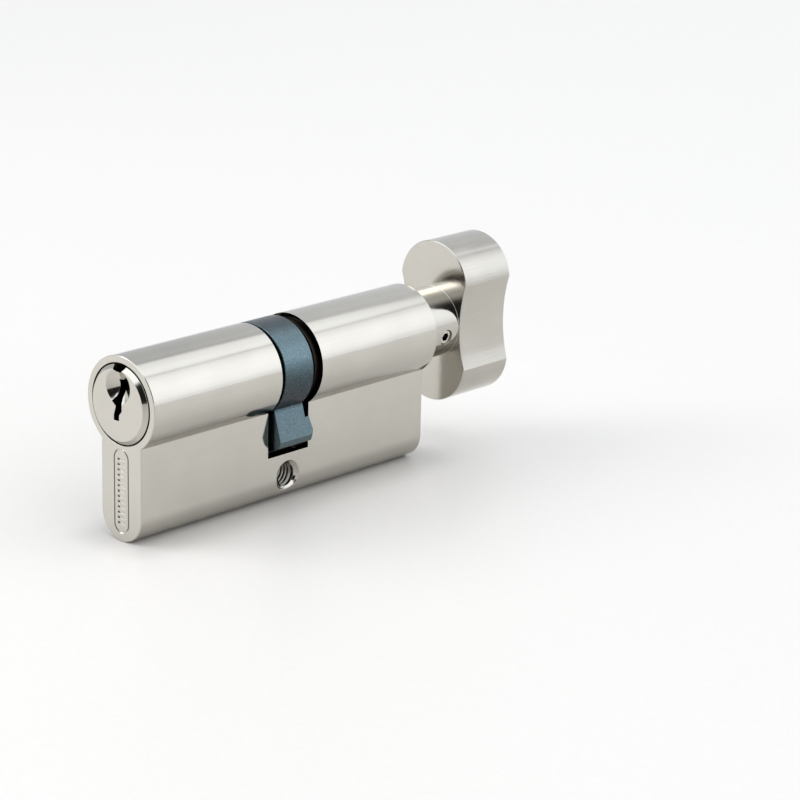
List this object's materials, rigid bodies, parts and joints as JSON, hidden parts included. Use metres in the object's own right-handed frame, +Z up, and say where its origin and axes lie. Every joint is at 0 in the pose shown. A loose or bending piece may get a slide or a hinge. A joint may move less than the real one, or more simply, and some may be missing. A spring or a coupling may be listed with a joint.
{
  "type": "euro cylinder",
  "caption": "Euro-profile lock cylinder with a keyed plug on one side, a waisted turn knob on the other and a turning cam in the middle gap.",
  "frame": {"origin": "centre of the M5 fixing-screw hole, in the middle of the leg", "axes": "+Y along the cylinder from the key side to the knob side, +X along the fixing screw, +Z up from the leg to the plug"},
  "size_m": [0.017, 0.0912, 0.0399],
  "materials": {
    "housing_nickel": "polished nickel plate over brass",
    "plug_nickel": "satin nickel plate over brass",
    "knob_nickel": "satin nickel plate over brass, polished flat faces",
    "cap_nickel": "nickel plate over brass, dressed flush",
    "blued_steel": "blue-grey oxide on sintered steel",
    "black_spring_steel": "black oxide",
    "hard_steel": "ground",
    "screw_steel": "zinc plated",
    "spring_wire": "bright drawn wire",
    "pin_brass": "turned brass",
    "turned_brass": "turned, nickel plated"
  },
  "bodies": {
    "housing": {"body": "housing_nickel", "chamber_caps": "cap_nickel", "pin_spring_1": "spring_wire", "pin_spring_2": "spring_wire", "pin_spring_3": "spring_wire", "pin_spring_4": "spring_wire", "pin_spring_5": "spring_wire"},
    "plug": {"key_plug": "plug_nickel", "plug_circlip": "black_spring_steel"},
    "knob": {"thumb_knob": "knob_nickel", "knob_grub_screw": "screw_steel", "spindle": "turned_brass", "spindle_circlip": "black_spring_steel", "coupling_spring": "spring_wire"},
    "cam": {"cam": "blued_steel"},
    "coupling_dog": {"coupling_dog": "hard_steel"},
    "key_pin_1": {"key_pin_1": "pin_brass"},
    "driver_pin_1": {"driver_pin_1": "pin_brass"},
    "key_pin_2": {"key_pin_2": "pin_brass"},
    "driver_pin_2": {"driver_pin_2": "pin_brass"},
    "key_pin_3": {"key_pin_3": "pin_brass"},
    "driver_pin_3": {"driver_pin_3": "pin_brass"},
    "key_pin_4": {"key_pin_4": "pin_brass"},
    "driver_pin_4": {"driver_pin_4": "pin_brass"},
    "key_pin_5": {"key_pin_5": "pin_brass"},
    "driver_pin_5": {"driver_pin_5": "pin_brass"}
  },
  "joints": [
    {"name": "plug_turn", "type": "hinge", "parent": "housing", "child": "plug", "pos_m": [0, -0.02, 0.0195], "axis": [0, 1, 0], "continuous": true},
    {"name": "knob_turn", "type": "hinge", "parent": "housing", "child": "knob", "pos_m": [0, 0.02, 0.0195], "axis": [0, 1, 0], "continuous": true},
    {"name": "cam_turn", "type": "hinge", "parent": "housing", "child": "cam", "pos_m": [0, 0, 0.0195], "axis": [0, 1, 0], "continuous": true},
    {"name": "coupling_push", "type": "slide", "parent": "plug", "child": "coupling_dog", "axis": [0, 1, 0], "range_m": [0, 0.0026], "stiffness_N_per_m": 150, "springref_m": -0.003, "deforming": ["coupling_spring"]},
    {"name": "key_pin_1_lift", "type": "slide", "parent": "plug", "child": "key_pin_1", "axis": [0, 0, 1], "range_m": [0, 0.00265]},
    {"name": "driver_pin_1_push", "type": "slide", "parent": "housing", "child": "driver_pin_1", "axis": [0, 0, 1], "range_m": [-0.0015, 0], "stiffness_N_per_m": 100, "springref_m": 0.004, "deforming": ["pin_spring_1"]},
    {"name": "key_pin_2_lift", "type": "slide", "parent": "plug", "child": "key_pin_2", "axis": [0, 0, 1], "range_m": [0, 0.00145]},
    {"name": "driver_pin_2_push", "type": "slide", "parent": "housing", "child": "driver_pin_2", "axis": [0, 0, 1], "range_m": [-0.0015, 0], "stiffness_N_per_m": 100, "springref_m": 0.004, "deforming": ["pin_spring_2"]},
    {"name": "key_pin_3_lift", "type": "slide", "parent": "plug", "child": "key_pin_3", "axis": [0, 0, 1], "range_m": [0, 0.00205]},
    {"name": "driver_pin_3_push", "type": "slide", "parent": "housing", "child": "driver_pin_3", "axis": [0, 0, 1], "range_m": [-0.0015, 0], "stiffness_N_per_m": 100, "springref_m": 0.004, "deforming": ["pin_spring_3"]},
    {"name": "key_pin_4_lift", "type": "slide", "parent": "plug", "child": "key_pin_4", "axis": [0, 0, 1], "range_m": [0, 0.00065]},
    {"name": "driver_pin_4_push", "type": "slide", "parent": "housing", "child": "driver_pin_4", "axis": [0, 0, 1], "range_m": [-0.0015, 0], "stiffness_N_per_m": 100, "springref_m": 0.004, "deforming": ["pin_spring_4"]},
    {"name": "key_pin_5_lift", "type": "slide", "parent": "plug", "child": "key_pin_5", "axis": [0, 0, 1], "range_m": [0, 0.00175]},
    {"name": "driver_pin_5_push", "type": "slide", "parent": "housing", "child": "driver_pin_5", "axis": [0, 0, 1], "range_m": [-0.0015, 0], "stiffness_N_per_m": 100, "springref_m": 0.004, "deforming": ["pin_spring_5"]}
  ],
  "couplings": [
    {"joint": "cam_turn", "follows": "knob_turn", "ratio": 1}
  ]
}
